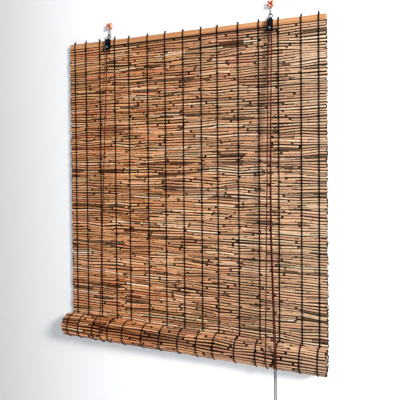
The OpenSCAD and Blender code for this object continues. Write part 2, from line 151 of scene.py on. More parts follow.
# shares of the fibres and of the stains in the tone, and what the two add to it on the whole
FIBRE_PART, STAIN_PART, ADDED = 0.45, 0.2, 0.32
# where the painted light on the right begins and where it is strongest, in metres right of the middle, and
# how strong
LIGHT_BEGINS, LIGHT_FULL, LIGHT_SHARE, SIDE_LIGHT_COLOUR = -0.15, 0.4, 0.4, "#b2b29d"
# the dark joints' own colour, and the colour of the painted shade on stems in the gaps, on cut ends and in
# hollows
JOINT_COLOUR, SHADE_COLOUR = "#4a2614", "#0b0502"
# the wax's gloss, and the gloss where the shade is painted
WAX_GLOSS, SHADE_GLOSS = 0.6, 0.0
reed, tree, sockets = new_material("dried_reed", Roughness=0.35)
place = add(tree, "ShaderNodeTexCoord").outputs["Object"]
# fibres 1.5 mm wide and 9 mm long, drawn coarser than real ones so that they show
fibre = add(tree, "ShaderNodeMapping", {"Vector": place, "Scale": (110, 650, 650)}).outputs[0]
fibre = add(tree, "ShaderNodeTexNoise", {"Vector": fibre, "Scale": 1.0}).outputs[0]
# weather stains about 100 mm across
stain = add(tree, "ShaderNodeMapping", {"Vector": place, "Scale": (9, 9, 14)}).outputs[0]
stain = add(tree, "ShaderNodeTexNoise", {"Vector": stain, "Scale": 1.0}).outputs[0]
tone = add(tree, "ShaderNodeAttribute", attribute_name="stem_tone").outputs["Fac"]
tone = add(tree, "ShaderNodeMath", {0: fibre, 1: FIBRE_PART, 2: tone}, operation="MULTIPLY_ADD").outputs[0]
tone = add(tree, "ShaderNodeMath", {0: stain, 1: STAIN_PART, 2: tone}, operation="MULTIPLY_ADD").outputs[0]
tone = add(tree, "ShaderNodeMath", {0: tone, 1: ADDED}, operation="SUBTRACT").outputs[0]
skin = add(tree, "ShaderNodeValToRGB", {0: tone}, stops=BROWN_TO_CREAM).outputs[0]
hue = add(tree, "ShaderNodeAttribute", attribute_name="stem_hue").outputs["Fac"]
tint = add(tree, "ShaderNodeValToRGB", {0: hue}, stops=GREEN_TO_RED).outputs[0]
tinted = {"Factor_Float": 1.0, "A_Color": skin, "B_Color": tint}
skin = add(tree, "ShaderNodeMix", tinted, data_type="RGBA", blend_type="MULTIPLY").outputs[2]
# painted light: the stems are painted paler and greyer towards the right, where the light falls
across = add(tree, "ShaderNodeSeparateXYZ", {0: place}).outputs["X"]
side_light = {"Value": across, "From Min": LIGHT_BEGINS, "From Max": LIGHT_FULL, "To Max": LIGHT_SHARE}
side_light = add(tree, "ShaderNodeMapRange", side_light).outputs[0]
side_lit = {"Factor_Float": side_light, "A_Color": skin, "B_Color": linear(SIDE_LIGHT_COLOUR)}
skin = add(tree, "ShaderNodeMix", side_lit, data_type="RGBA").outputs[2]
joint = add(tree, "ShaderNodeAttribute", attribute_name="stem_joint").outputs["Fac"]
# painted shade: the stems' faces in the gaps, their cut ends and their hollows are darkened and lose their
# gloss
dark = 0.0
for label in ("stem_shade", "stem_cut", "stem_hollow"):
    mark = add(tree, "ShaderNodeAttribute", attribute_name=label).outputs["Fac"]
    dark = add(tree, "ShaderNodeMath", {0: mark, 1: dark}, operation="MAXIMUM").outputs[0]
for mark, code in ((joint, JOINT_COLOUR), (dark, SHADE_COLOUR)):
    marked = {"Factor_Float": mark, "A_Color": skin, "B_Color": linear(code)}
    skin = add(tree, "ShaderNodeMix", marked, data_type="RGBA").outputs[2]
gloss = {"Value": dark, "To Min": WAX_GLOSS, "To Max": SHADE_GLOSS}
gloss = add(tree, "ShaderNodeMapRange", gloss).outputs[0]
tree.links.new(gloss, sockets["Specular IOR Level"])
tree.links.new(skin, sockets["Base Color"])
bump = add(tree, "ShaderNodeBump", {"Height": fibre, "Strength": 0.25, "Distance": 0.0004})
tree.links.new(bump.outputs[0], sockets["Normal"])
print("reed material:", len(tree.nodes), "nodes")

# %% [markdown]
# ## Threads and cords
# The warp is black twisted thread and the lift cord a maroon braid. Both are spun from many fine fibres,
# so they are rough and hardly shine. The sweep below leaves the height of the braid on each point as an
# attribute, and the colour follows it: dark in the grooves as painted shade, lighter where the yarn
# stands up and is rubbed. The run that crosses under the lath is painted dark all over, as the shade
# under the lath, and the ends of the pull cord are grey where a hand takes them.

# %% Thread and cord materials
CLEAN_Z, GREY_Z = -0.958, -0.965
GREYS = ((0.15, "#2e2c2d"), (0.85, "#605d5e"))
woven = {}
for name, groove, crown, shine in (
    ("black_thread", "#020202", "#0a090a", 0.0),
    ("maroon_braid", "#1c0806", "#57211a", 0.1),
    # painted shade: the run that crosses under the lath is painted dark
    ("shaded_braid", "#050202", "#170806", 0.1),
    ("handled_braid", "#1c0806", "#57211a", 0.1),
):
    woven[name], tree, sockets = new_material(name, Roughness=0.8, Specular_IOR_Level=shine)
    place = add(tree, "ShaderNodeTexCoord").outputs["Object"]
    height = add(tree, "ShaderNodeAttribute", attribute_name="cord_weave").outputs["Fac"]
    height = {"Value": height, "From Min": -1.0, "From Max": 1.0}
    height = add(tree, "ShaderNodeMapRange", height).outputs[0]
    # painted shade in the grooves; the lighter crowns are where the yarn is rubbed
    colour = add(tree, "ShaderNodeValToRGB", {0: height}, stops=((0.15, groove), (0.85, crown))).outputs[0]
    if name == "handled_braid":
        # clean above the foot of the roll and grey with handling below it
        up = add(tree, "ShaderNodeSeparateXYZ", {0: place}).outputs["Z"]
        worn = {"Value": up, "From Min": CLEAN_Z, "From Max": GREY_Z}
        worn = add(tree, "ShaderNodeMapRange", worn).outputs[0]
        grey = add(tree, "ShaderNodeValToRGB", {0: height}, stops=GREYS).outputs[0]
        worn = {"Factor_Float": worn, "A_Color": colour, "B_Color": grey}
        colour = add(tree, "ShaderNodeMix", worn, data_type="RGBA").outputs[2]
    tree.links.new(colour, sockets["Base Color"])
    # single fibres of 0.1 mm, drawn 0.4 mm wide so that they show
    fuzz = add(tree, "ShaderNodeTexNoise", {"Vector": place, "Scale": 2500.0}).outputs[0]
    bump = add(tree, "ShaderNodeBump", {"Height": fuzz, "Strength": 0.3, "Distance": 0.0003})
    tree.links.new(bump.outputs[0], sockets["Normal"])
print("woven materials:", ", ".join(woven))

# %% [markdown]
# ## Planed pine
# The header lath is a thin strip of pine, and the rod in the roll a turned one. Planed pine is pale
# orange with darker lines of late wood along it, a few millimetres apart, and it is dull because nothing
# seals its pores. A picture of wood could be laid on it, but noise drawn out along the lath needs no
# file.

# %% Pine material
PINE_BAND = ((0.3, "#8f5630"), (0.45, "#ab7145"), (0.55, "#bb8453"), (0.7, "#cc9d70"))
pine, tree, sockets = new_material("planed_pine", Roughness=0.55)
place = add(tree, "ShaderNodeTexCoord").outputs["Object"]
# year lines 3 mm apart that wander once in about 400 mm
grain = add(tree, "ShaderNodeMapping", {"Vector": place, "Scale": (2.5, 330, 330)}).outputs[0]
grain = {"Vector": grain, "Scale": 1.0, "Detail": 3.0, "Distortion": 0.4}
grain = add(tree, "ShaderNodeTexNoise", grain).outputs[0]
colour = add(tree, "ShaderNodeValToRGB", {0: grain}, stops=PINE_BAND).outputs[0]
tree.links.new(colour, sockets["Base Color"])
bump = add(tree, "ShaderNodeBump", {"Height": grain, "Strength": 0.15, "Distance": 0.0005})
tree.links.new(bump.outputs[0], sockets["Normal"])
print("pine material:", len(tree.nodes), "nodes")

# %% [markdown]
# ## Metal, nylon and the turned knob
# The hangers are pressed steel under black enamel, the pins are zinc plated, the rosettes copper plated
# and the collars cast brass. Each gets a base colour that drifts a little over a few millimetres, as
# handled and stored fittings do, and a roughness that drifts with it. One loop makes them all, because
# they differ only in these values.

# %% Fittings' materials
fittings = {}
for name, dull, bright, metallic, smooth, rough in (
    ("black_enamel", "#020204", "#08090c", 0.0, 0.35, 0.55),
    ("zinc_plate", "#8f949c", "#c9ced8", 1.0, 0.25, 0.45),
    ("dulled_zinc", "#26282c", "#4a4d54", 1.0, 0.35, 0.55),
    ("cast_brass", "#5d4a1f", "#a98d4e", 1.0, 0.3, 0.55),
    ("moulded_nylon", "#141416", "#222226", 0.0, 0.4, 0.6),
    ("stained_wood", "#2b1209", "#5c2c17", 0.0, 0.35, 0.6),
):
    fittings[name], tree, sockets = new_material(name, Metallic=metallic, Specular_IOR_Level=0.1)
    place = add(tree, "ShaderNodeTexCoord").outputs["Object"]
    # patches 4 mm across
    patch = add(tree, "ShaderNodeTexNoise", {"Vector": place, "Scale": 250.0, "Detail": 4.0}).outputs[0]
    colour = add(tree, "ShaderNodeValToRGB", {0: patch}, stops=((0.3, dull), (0.7, bright))).outputs[0]
    tree.links.new(colour, sockets["Base Color"])
    spread = {"Value": patch, "To Min": smooth, "To Max": rough}
    tree.links.new(add(tree, "ShaderNodeMapRange", spread).outputs[0], sockets["Roughness"])
    # grit of 0.3 mm under the plating
    grit = add(tree, "ShaderNodeTexNoise", {"Vector": place, "Scale": 3300.0}).outputs[0]
    bump = add(tree, "ShaderNodeBump", {"Height": grit, "Strength": 0.1, "Distance": 0.0001})
    tree.links.new(bump.outputs[0], sockets["Normal"])
print("fittings:", ", ".join(fittings))

# %% [markdown]
# ## Veined petals
# The petals of the copper rosettes are pale, with a dark red vein about 3 mm wide along each. The veins
# lie on the two diagonals through the screw, so a point is on a vein where its distances from the screw
# across and up are nearly equal.

# %% Petal material
# the screws' places left and right of the middle, and how far from its middle a vein has faded
HANGER_X, VEIN_FADE = 0.254, 0.005
VEIN_TO_RIM = ((0.2, "#7d2a1a"), (0.45, "#c06a4c"), (0.8, "#e3a284"))
veined, tree, sockets = new_material("veined_copper", Metallic=0.2, Roughness=0.4)
place = add(tree, "ShaderNodeTexCoord").outputs["Object"]
place = add(tree, "ShaderNodeSeparateXYZ", {0: place}).outputs
across = add(tree, "ShaderNodeMath", {0: place["X"]}, operation="ABSOLUTE").outputs[0]
across = add(tree, "ShaderNodeMath", {0: across, 1: HANGER_X}, operation="SUBTRACT").outputs[0]
across = add(tree, "ShaderNodeMath", {0: across}, operation="ABSOLUTE").outputs[0]
up = add(tree, "ShaderNodeMath", {0: place["Z"]}, operation="ABSOLUTE").outputs[0]
apart = add(tree, "ShaderNodeMath", {0: across, 1: up}, operation="SUBTRACT").outputs[0]
apart = add(tree, "ShaderNodeMath", {0: apart}, operation="ABSOLUTE").outputs[0]
vein = add(tree, "ShaderNodeMapRange", {"Value": apart, "From Max": VEIN_FADE}).outputs[0]
colour = add(tree, "ShaderNodeValToRGB", {0: vein}, stops=VEIN_TO_RIM).outputs[0]
tree.links.new(colour, sockets["Base Color"])
fittings["veined_copper"] = veined
print("petal material:", len(tree.nodes), "nodes")

# %% [markdown]
# ## Finishes for the CAD pieces that stay
# These pieces are right as the CAD has them, so they only change material. A Bevel modifier could round
# their edges, as a press or a saw leaves them, but most are a few millimetres wide, and it would not
# show.

# %% Dress the CAD pieces
FINISH = {
    "hanger_strap": "black_enamel", "hanger_cheek": "black_enamel", "hanger_ring": "black_enamel",
    "hanger_screw": "dulled_zinc", "hook_wire": "dulled_zinc",
    "sheave_axle": "zinc_plate", "cord_staple": "zinc_plate", "sheave": "moulded_nylon",
    "hook_rosette": "veined_copper", "hook_collar": "cast_brass",
}
dressed = {"header_lath": pine, "bottom_rod": pine, "pull_knob": fittings["stained_wood"]}
for side, _ in SIDES:
    dressed.update({f"{side}_{piece}": fittings[finish] for piece, finish in FINISH.items()})
for name, material in dressed.items():
    cad[name].data.materials.clear()
    cad[name].data.materials.append(material)
print("dressed", len(dressed), "CAD pieces")

# %% [markdown]
# ## The sweep that makes cords and threads
# A cord is a line with a round section. The tree below takes loose chains of edges, samples them evenly,
# sweeps a ring along each and then lifts the surface where two sets of yarn, wound left and right, cross
# over each other. The same tree makes the thread, with one gentle twist in place of the braid. A
# bevelled curve would be quicker, but as smooth as a wire.


# %% Sweep tree
def new_tree(name, sizes):
    """A Geometry Nodes tree with a line, sizes by name and a material: (tree, its inputs, its output)."""
    made = bpy.data.node_groups.new(name, "GeometryNodeTree")
    made.interface.new_socket("Geometry", in_out="INPUT", socket_type="NodeSocketGeometry")
    for label, value in sizes.items():
        kind = "NodeSocketInt" if isinstance(value, int) else "NodeSocketFloat"
        made.interface.new_socket(label, in_out="INPUT", socket_type=kind).default_value = value
    made.interface.new_socket("Material", in_out="INPUT", socket_type="NodeSocketMaterial")
    made.interface.new_socket("Geometry", in_out="OUTPUT", socket_type="NodeSocketGeometry")
    return made, add(made, "NodeGroupInput").outputs, add(made, "NodeGroupOutput").inputs


# lengths in metres; the relief is a share of the radius, and the strands are those of one set of yarn
BRAID = {"Radius": 0.0016, "Sides": 10, "Spacing": 0.0018, "Relief": 0.08, "Pitch": 0.009, "Strands": 3.0}
sweep, given, result = new_tree("braided_cord", BRAID)
line = add(sweep, "GeometryNodeMeshToCurve", {"Mesh": given["Geometry"]}).outputs[0]
line = {"Curve": line, "Length": given["Spacing"]}
line = add(sweep, "GeometryNodeResampleCurve", line, mode="LENGTH").outputs[0]
along = add(sweep, "GeometryNodeSplineParameter").outputs["Length"]
line = {"Geometry": line, "Name": "cord_along", "Value": along}
line = add(sweep, "GeometryNodeStoreNamedAttribute", line).outputs[0]
ring = {"Resolution": given["Sides"], "Radius": 1.0}
ring = add(sweep, "GeometryNodeCurvePrimitiveCircle", ring).outputs[0]
around = add(sweep, "GeometryNodeSplineParameter").outputs["Factor"]
ring = {"Geometry": ring, "Name": "cord_around", "Value": around}
ring = add(sweep, "GeometryNodeStoreNamedAttribute", ring).outputs[0]
swept = {"Curve": line, "Profile Curve": ring, "Scale": given["Radius"], "Fill Caps": True}
skin = add(sweep, "GeometryNodeCurveToMesh", swept).outputs[0]
print("sweep:", len(sweep.nodes), "nodes make the round cord")

# %% Yarn of the sweep
along = add(sweep, "GeometryNodeInputNamedAttribute", {"Name": "cord_along"}).outputs[0]
around = add(sweep, "GeometryNodeInputNamedAttribute", {"Name": "cord_around"}).outputs[0]
turn = add(sweep, "ShaderNodeMath", {0: along, 1: given["Pitch"]}, operation="DIVIDE").outputs[0]
strand = add(sweep, "ShaderNodeMath", {0: around, 1: given["Strands"]}, operation="MULTIPLY").outputs[0]
waves = []
for way in ("ADD", "SUBTRACT"):
    phase = add(sweep, "ShaderNodeMath", {0: strand, 1: turn}, operation=way).outputs[0]
    phase = add(sweep, "ShaderNodeMath", {0: phase, 1: math.tau}, operation="MULTIPLY").outputs[0]
    waves.append(add(sweep, "ShaderNodeMath", {0: phase}, operation="COSINE").outputs[0])
weave = add(sweep, "ShaderNodeMath", {0: waves[0], 1: waves[1]}, operation="MULTIPLY").outputs[0]
skin = {"Geometry": skin, "Name": "cord_weave", "Value": weave}
skin = add(sweep, "GeometryNodeStoreNamedAttribute", skin).outputs[0]
raised = add(sweep, "ShaderNodeMath", {0: weave, 1: given["Relief"]}, operation="MULTIPLY").outputs[0]
raised = add(sweep, "ShaderNodeMath", {0: raised, 1: given["Radius"]}, operation="MULTIPLY").outputs[0]
normal = add(sweep, "GeometryNodeInputNormal").outputs[0]
lift = add(sweep, "ShaderNodeVectorMath", {0: normal, "Scale": raised}, operation="SCALE").outputs[0]
skin = add(sweep, "GeometryNodeSetPosition", {"Geometry": skin, "Offset": lift}).outputs[0]
skin = add(sweep, "GeometryNodeSetShadeSmooth", {"Geometry": skin}).outputs[0]
skin = add(sweep, "GeometryNodeRealizeInstances", {"Geometry": skin}).outputs[0]
skin = add(sweep, "GeometryNodeSetMaterial", {"Geometry": skin, "Material": given["Material"]}).outputs[0]
sweep.links.new(skin, result["Geometry"])
print("sweep:", len(sweep.nodes), "nodes with the yarn")


# %% From lines to a mesh
def grow(name, tree, lines, slot, material, values=None, **sizes):
    """Runs a tree over lines, which are lists of points, and returns its result as a plain mesh object.
    Values are point attributes: {name: one list of numbers for each line}."""
    points = np.concatenate([np.asarray(line, float) for line in lines])
    edges, start = [], 0
    for line in lines:
        edges += [(start + i, start + i + 1) for i in range(len(line) - 1)]
        start += len(line)
    guide = bpy.data.meshes.new(name + "_guide")
    guide.from_pydata(points.tolist(), edges, [])
    for label, numbers in (values or {}).items():
        layer = guide.attributes.new(label, "FLOAT", "POINT")
        layer.data.foreach_set("value", np.concatenate(numbers).astype(np.float32))
    carrier = bpy.data.objects.new(name + "_guide", guide)
    scene.collection.objects.link(carrier)
    modifier = carrier.modifiers.new("grow", "NODES")
    modifier.node_group = tree
    for item in tree.interface.items_tree:
        if item.in_out == "INPUT" and item.name in sizes:
            modifier[item.identifier] = sizes[item.name]
        if item.in_out == "INPUT" and item.name == "Material":
            modifier[item.identifier] = material
    graph = bpy.context.evaluated_depsgraph_get()
    mesh = bpy.data.meshes.new_from_object(carrier.evaluated_get(graph), depsgraph=graph)
    bpy.data.objects.remove(carrier)
    mesh.name = name
    made = bpy.data.objects.new(name, mesh)
    scene.collection.objects.link(made)
    triangles = sum(len(p.vertices) - 2 for p in mesh.polygons)
    print(name, len(lines), "lines", triangles, "triangles")
    return made


# %% [markdown]
# ## The routes of the lift and pull cords
# Each lift cord starts at a staple behind the lath, runs down the back, under the roll in a sling and up
# the front to a sheave. From the left sheave the cord crosses to the right one, and both go down from
# there as the pull cord. The routes repeat the CAD's own rules. The runs are tight, so they are straight
# lines and arcs. A run above the roll ends below its sheave and above the round of the roll.

# %% Points of the cords
SHEAVE_R, AXLE_Z = 0.004, -0.0685
REAR_GROOVE_Y, FRONT_GROOVE_Y = -0.01685, -0.02125
ROLL_Y, ROLL_Z, SLING_R = -0.0412, -0.942, 0.0359
CORD_D, CORD_BACK_Y, CORD_END_Z, LEAD = 0.0028, -0.0053, -0.055, 0.003
# the pull cord's way aside and its depth, how far its strands are apart, and the share of that they lose
PULL_DRIFT, PULL_Y, STRAND_STEP, STRAND_CLOSING = 0.022, -0.0790, 0.005, 0.2
BELOW_SHEAVE, ABOVE_ROLL, ABOVE_BEND, BELOW_ROLL, INTO_KNOB = 0.012, 0.026, 0.016, 0.09, 0.02
PULL_BEND_Z, PULL_END_Z = ROLL_Z + 0.012, -1.0738
# shares of the way down and of the way aside, of a cord that hangs a little slack
PULL_BENDS = ((0.3, 0.02), (0.5, 0.1), (0.66, 0.25), (0.82, 0.6), (1.0, 1.0))


def sling_point(x, angle):
    """Point of a sling, by its elevation in front of the roll's axis."""
    return np.array((x, ROLL_Y - SLING_R * math.cos(angle), ROLL_Z + SLING_R * math.sin(angle)))


def sheave_point(x, y, angle):
    """Point of a cord on a sheave, by its elevation to the right of the axle."""
    return np.array((x + SHEAVE_R * math.cos(angle), y, AXLE_Z + SHEAVE_R * math.sin(angle)))


def pull_point(way, groove_y, drop, drift):
    """Point of a strand of the pull cord, by its shares of the way down and aside."""
    apart = drop * way * STRAND_STEP / 2 * (1 - STRAND_CLOSING * drop)
    x = HANGER_X + SHEAVE_R + drift * (PULL_DRIFT - SHEAVE_R) + apart
    return np.array((x, groove_y + drop * (PULL_Y - groove_y), AXLE_Z + drop * (PULL_BEND_Z - AXLE_Z)))


def toward(a, b, distance):
    """The point that lies distance from a on the way to b."""
    return a + distance * (b - a) / np.linalg.norm(b - a)


def evenly(points, step):
    """A chain of straight runs, with points added so that none are further apart than step."""
    chain = [np.asarray(points[0], float)]
    for a, b in zip(points, points[1:]):
        count = max(1, math.ceil(np.linalg.norm(np.subtract(b, a)) / step))
        chain += [np.add(a, np.subtract(b, a) * k / count) for k in range(1, count + 1)]
    return chain


print("sling of radius", SLING_R, "starts at", [round(v, 4) for v in sling_point(HANGER_X, 0)])

# %% Cord routes
WRAP = [math.radians(a) for a in range(180, -1, -15)]
SLING_PARTS, TINY = 24, 1e-6
routes = {}
for side, way in SIDES:
    lift_x = way * HANGER_X - SHEAVE_R
    groove_y = REAR_GROOVE_Y if way < 0 else FRONT_GROOVE_Y
    top = np.array((lift_x, groove_y, AXLE_Z))
    to_roll = math.hypot(groove_y - ROLL_Y, AXLE_Z - ROLL_Z)
    touch = math.atan2(AXLE_Z - ROLL_Z, ROLL_Y - groove_y) - math.acos(SLING_R / to_roll)
    foot = sling_point(lift_x, touch)
    front_top, front_low = toward(top, foot, BELOW_SHEAVE), toward(foot, top, ABOVE_ROLL)
    back_low = np.array((lift_x, CORD_BACK_Y, ROLL_Z + LEAD))
    routes[side + "_lift_cord_front"] = [front_top, front_low]
    routes[side + "_lift_cord_back"] = [np.array((lift_x, CORD_BACK_Y, CORD_END_Z)), back_low]
    parts = range(SLING_PARTS + 1)
    arc = [sling_point(lift_x, touch - (math.pi + touch) * k / SLING_PARTS) for k in parts]
    routes[side + "_sling"] = [front_low, *arc, back_low]
    bends = [pull_point(way, groove_y, drop, drift) for drop, drift in PULL_BENDS]
    pull_top = toward(sheave_point(HANGER_X, groove_y, 0), bends[0], BELOW_SHEAVE)
    pull_low = toward(bends[-1], bends[-2], ABOVE_BEND)
    passing = bends[-1] - (0, 0, PULL_BEND_Z - ROLL_Z)
    routes[side + "_pull_cord_upper"] = [pull_top, *bends[:-1], pull_low]
    in_knob = np.array((HANGER_X + PULL_DRIFT + way * STRAND_STEP / 2, PULL_Y, PULL_END_Z))
    hanging = [passing, passing + (0, 0, -BELOW_ROLL), in_knob + (0, 0, INTO_KNOB), in_knob]
    routes[side + "_pull_cord_lower"] = [pull_low, bends[-1], *hanging]
    over = [sheave_point(way * HANGER_X, groove_y, a) for a in WRAP]
    if way < 0:
        over = [p for p in over if p[0] <= -HANGER_X + TINY]
        over += [sheave_point(HANGER_X, groove_y, a) for a in WRAP if a <= math.pi / 2 + TINY]
    routes["cross_cord" if way < 0 else "right_sheave_cord"] = [front_top, *over, pull_top]
print("cord routes:", ", ".join(routes))

# %% [markdown]
# ## The cords
# On the real blind the runs above the roll get shorter as the roll goes up. Here they ride with the
# header, and the slings ride with the roll. The pull cord is the one free cord: its knob hangs below
# the picture's edge, where the hand would find it.


def shorten(piece):
    """Gives a hanging piece a mesh of its own."""
    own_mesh(piece)


for name, route in routes.items():
    lower = name.endswith("pull_cord_lower")
    braid = "handled_braid" if lower else "shaded_braid" if name == "cross_cord" else "maroon_braid"
    piece = grow(name + "_braid", sweep, [route], "cord", woven[braid])
    if name.endswith(("lift_cord_back", "lift_cord_front", "pull_cord_upper")):
        shorten(piece)
    if lower:
        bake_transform(piece)
    else:
        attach(piece, "slings" if name.endswith("sling") else "header")
    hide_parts(name)
    if "pull_cord" in name:
        evenly(route, 0.01)

# %% [markdown]
# ## How the stems lie
# A weaver lays stems side by side, and lets each next stem start where the last one ends. Every string
# pulls the rows up or down by a couple of millimetres, in its own way, and between two strings a stem is
# straight. So a table of waves for each string gives the rows' wander, the same at every run. Behind the
# outer stems lie others in the gaps between them.

# %% Wander of the rows
chance = np.random.default_rng(41)
STRING_X = [
    -0.380, -0.339, -0.287, -0.233, -0.183, -0.119, -0.061, -0.003,
    0.053, 0.102, 0.163, 0.221, 0.275, 0.335, 0.380,
]
# the waves of a string: spans of their pace in radians per metre, of their phase and of their reach
WAVES, WAVE_SPANS = 3, ((40, 110), (0, math.tau), (0.0008, 0.0022))
PULLS = [[[chance.uniform(*span) for span in WAVE_SPANS] for _ in range(WAVES)] for _ in STRING_X]


def wander(x, z):
    """Metres by which a row at height z strays from straight at places in x."""
    pulled = [sum(reach * math.sin(pace * z + phase) for pace, phase, reach in waves) for waves in PULLS]
    return np.interp(x, STRING_X, pulled)


print("strings:", len(STRING_X))

# %% Kinds of stems
# lengths, radii and gaps in metres, mean and spread of the tone, how dark the side that faces out is
# painted, as painted shade in the gaps (inner), and how dark the whole stem is painted at least, as
# painted shade (dark)
OUTER = {
    "lengths": (0.05, 0.20), "thick": (0.0020, 0.0028), "gaps": (0.001, 0.003),
    "tones": (0.70, 0.11), "inner": 0.0, "dark": 0.0,
}
ROLLED = {**OUTER, "thick": (0.0019, 0.0027), "tones": (0.50, 0.15)}
REAR = {**OUTER, "thick": (0.0025, 0.0031), "inner": 1.0, "gaps": (-0.001, 0.0)}
INNER = {
    **OUTER, "lengths": (0.30, 0.60), "thick": (0.0022, 0.0025), "gaps": (-0.004, -0.001), "dark": 0.97,
}
ROLLED_INNER = {**INNER, "thick": (0.0024, 0.0026), "dark": 0.96}
SLENDER = {**OUTER, "lengths": (0.04, 0.14), "thick": (0.0009, 0.0015), "tones": (0.68, 0.13)}
print("lengths of the outer stems:", OUTER["lengths"], "of the slender ones:", SLENDER["lengths"])

# %% One stem and one row
# half the blind's width, its edge, where a row's last stem may start, and the end past which it is last
HALF_WIDTH, END_ZONE, LAST_START, LAST_END = 0.4, 0.39, 0.36, 0.33
# length and darkness of the painted shade at a cut end, and the share of stems whose cut at the edge stays
# pale
CUT_STEP, CUT_DARK, PLUGGED = 0.0030, 2.4, 0.6
FIRST_JOINT, JOINT_GAP, BARE_END = (0.04, 0.16), (0.13, 0.22), 0.02
JOINT_STEP, JOINT_SWELL, JOINT_DARK = 0.003, 0.08, 0.75
TAPER, TONE_LIMITS = (0.0001, 0.0004), (0.1, 1.0)
# where a row is sawn off at its two ends, and how far stems are out of level and lean to the front
LEFT_SAW, RIGHT_SAW = (-0.0025, 0.0015), (-0.0015, 0.0025)
SLOPE, MOST_SLOPE, LEAN, MOST_LEAN = 0.009, 0.02, 0.003, 0.006


def stem(start, end, kind):
    """Numbers along one stem from x = start to end: places, radii, tone, hue, inner, cuts, joints."""
    xs = {start: 0, end: 0, start + CUT_STEP: 0, end - CUT_STEP: 0}
    rings = np.arange(start + chance.uniform(*FIRST_JOINT), end - BARE_END, chance.uniform(*JOINT_GAP))
    for ring in rings:
        xs.update({ring: 1, ring - JOINT_STEP: 0, ring + JOINT_STEP: 0})
    for x in STRING_X:
        inside = start + 2 * CUT_STEP < x < end - 2 * CUT_STEP
        if inside and all(abs(x - ring) > 2 * JOINT_STEP for ring in rings):
            xs[x] = 0
    places = np.array(sorted(xs))
    joints = np.array([xs[x] for x in places], float)
    share = (places - start) / (end - start)
    if chance.random() < 0.5:
        share = 1 - share
    radii = chance.uniform(*kind["thick"]) - chance.uniform(*TAPER) * share
    radii = radii * (1 + JOINT_SWELL * joints)
    tone = np.clip(chance.normal(*kind["tones"]), *TONE_LIMITS)
    cuts = (places == start) | (places == end)
    if chance.random() < PLUGGED:
        cuts &= np.abs(places) < END_ZONE
    same = [np.full(len(places), value) for value in (tone, chance.random(), kind["inner"])]
    return places, radii, *same, np.maximum(CUT_DARK * cuts, kind["dark"]), JOINT_DARK * joints


def row_of_stems(kind):
    """Stems that fill one row from end to end: (numbers of the stem, its slope, its lean to the front)."""
    stems, x = [], -HALF_WIDTH + chance.uniform(*LEFT_SAW)
    while x < LAST_START:
        end = x + chance.uniform(*kind["lengths"])
        if end > LAST_END:
            end = HALF_WIDTH + chance.uniform(*RIGHT_SAW)
        slope = np.clip(chance.normal(0, SLOPE), -MOST_SLOPE, MOST_SLOPE)
        numbers = stem(x, end, kind)
        stems.append((numbers, slope, np.clip(chance.normal(0, LEAN), -MOST_LEAN, MOST_LEAN)))
        x = end + chance.uniform(*kind["gaps"])
    return stems


def slender_stem():
    """Numbers of a short thin stem somewhere along a row."""
    start = chance.uniform(-HALF_WIDTH, LAST_START)
    return stem(start, min(HALF_WIDTH, start + chance.uniform(*SLENDER["lengths"])), SLENDER)


# %% [markdown]
# ## The tree that makes stems
# Each stem is a line whose points carry a radius. The tree sweeps a ring along it, and then cuts the
# hollow: it finds the end faces, which are the only ones with more than four corners, insets them and
# pushes them in. It also marks how far the skin of an inner stem faces outward, which is away from a
# line along X behind the mat, because that side shows in the gaps and is painted dark there, as painted
# shade. A few dozen faces for each stem are enough, since there are hundreds. Plain cylinders would be
# stiff: a sweep follows the row and tapers.

# %% Stem tree
stems_tree, given, result = new_tree(
    "reed_stems", {"Sides": 6, "Bore": 0.55, "Bore depth": 0.004, "Behind Y": 10.0, "Behind Z": -0.5}
)
line = add(stems_tree, "GeometryNodeMeshToCurve", {"Mesh": given["Geometry"]}).outputs[0]
ring = {"Resolution": given["Sides"], "Radius": 1.0}
ring = add(stems_tree, "GeometryNodeCurvePrimitiveCircle", ring).outputs[0]
radius = add(stems_tree, "GeometryNodeInputNamedAttribute", {"Name": "stem_radius"}).outputs[0]
swept = {"Curve": line, "Profile Curve": ring, "Scale": radius, "Fill Caps": True}
skin = add(stems_tree, "GeometryNodeCurveToMesh", swept).outputs[0]
skin = add(stems_tree, "GeometryNodeSetShadeSmooth", {"Geometry": skin}).outputs[0]
behind = {"Y": given["Behind Y"], "Z": given["Behind Z"]}
behind = add(stems_tree, "ShaderNodeCombineXYZ", behind).outputs[0]
outward = {0: add(stems_tree, "GeometryNodeInputPosition").outputs[0], 1: behind}
outward = add(stems_tree, "ShaderNodeVectorMath", outward, operation="SUBTRACT").outputs[0]
outward = {0: outward, 1: (0, 1, 1)}
outward = add(stems_tree, "ShaderNodeVectorMath", outward, operation="MULTIPLY").outputs[0]
outward = add(stems_tree, "ShaderNodeVectorMath", {0: outward}, operation="NORMALIZE").outputs[0]
facing = {0: outward, 1: add(stems_tree, "GeometryNodeInputNormal").outputs[0]}
facing = add(stems_tree, "ShaderNodeVectorMath", facing, operation="DOT_PRODUCT").outputs["Value"]
inner = add(stems_tree, "GeometryNodeInputNamedAttribute", {"Name": "stem_inner"}).outputs[0]
# painted shade: the side of an inner stem that faces out, seen in the gaps, is marked to be painted dark
painted_shade = {0: facing, 1: inner}
painted_shade = add(stems_tree, "ShaderNodeMath", painted_shade, operation="MULTIPLY", use_clamp=True).outputs[0]
painted_shade = {"Geometry": skin, "Name": "stem_shade", "Value": painted_shade}
skin = add(stems_tree, "GeometryNodeStoreNamedAttribute", painted_shade).outputs[0]
print("stem tree:", len(stems_tree.nodes), "nodes make the skin")

